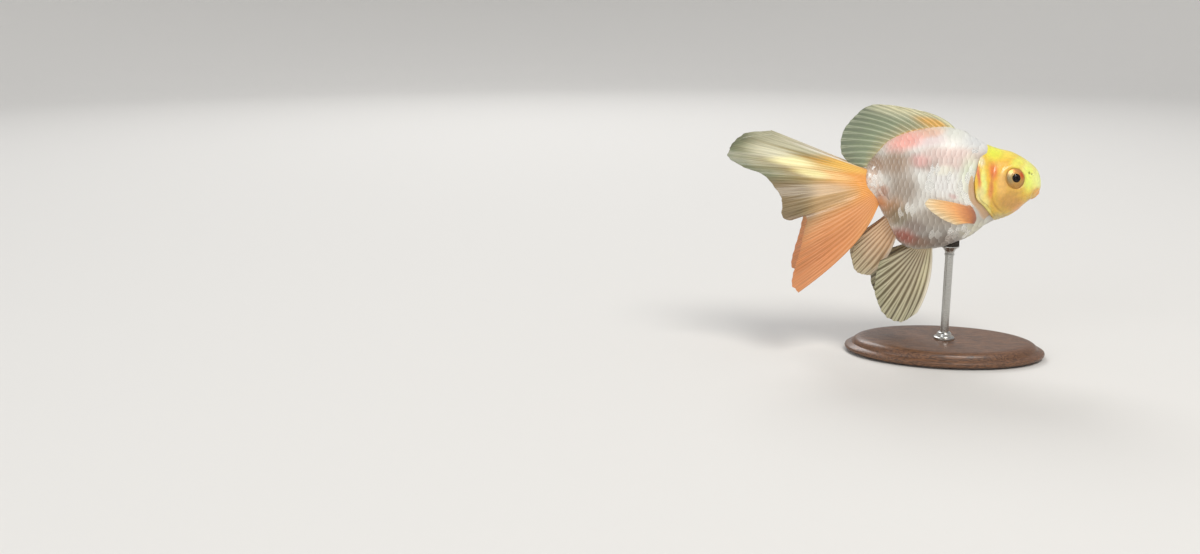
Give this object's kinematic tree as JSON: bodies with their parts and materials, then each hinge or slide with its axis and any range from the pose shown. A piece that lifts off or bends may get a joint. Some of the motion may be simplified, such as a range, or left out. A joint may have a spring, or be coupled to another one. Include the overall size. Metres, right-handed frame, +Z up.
{
  "type": "fancy goldfish",
  "caption": "Twin-tailed fancy goldfish, life size, level as it swims, with a yellow head, pearly white body and pale orange fins, on an oval stand with one rod.",
  "frame": {"origin": "centre of the stand base's flat underside", "axes": "+Z up along the rod towards the fish's back, -Y the way the fish faces, so its right flank is on -X"},
  "size_m": [0.072, 0.1892, 0.1475],
  "materials": {
    "head_skin": "moist yellow skin, smooth, no scales",
    "body_scales": "pearly white overlapping scales with pink and silver patches",
    "eye": "wet, amber iris with a black pupil",
    "orange_fin": "translucent orange membrane over fine rays",
    "cream_fin": "translucent cream membrane over pale rays",
    "tail_fin": "translucent peach membrane, pale yellow rays",
    "dorsal_fin": "translucent pale membrane, white front edge",
    "stand_wood": "satin dark walnut",
    "stand_metal": "brushed"
  },
  "bodies": {
    "root": {"head": "head_skin", "trunk": "body_scales", "tail_stem": "body_scales", "gill_cover_right": "head_skin", "eye_right": "eye", "pectoral_fin_right": "orange_fin", "pelvic_fin_right": "cream_fin", "anal_fin_right": "cream_fin", "tail_upper_lobe_right": "tail_fin", "tail_lower_lobe_right": "tail_fin", "gill_cover_left": "head_skin", "eye_left": "eye", "pectoral_fin_left": "orange_fin", "pelvic_fin_left": "cream_fin", "anal_fin_left": "cream_fin", "tail_upper_lobe_left": "tail_fin", "tail_lower_lobe_left": "tail_fin", "dorsal_fin": "dorsal_fin", "stand_base": "stand_wood", "stand_collar": "stand_metal", "stand_rod": "stand_metal"}
  },
  "joints": []
}
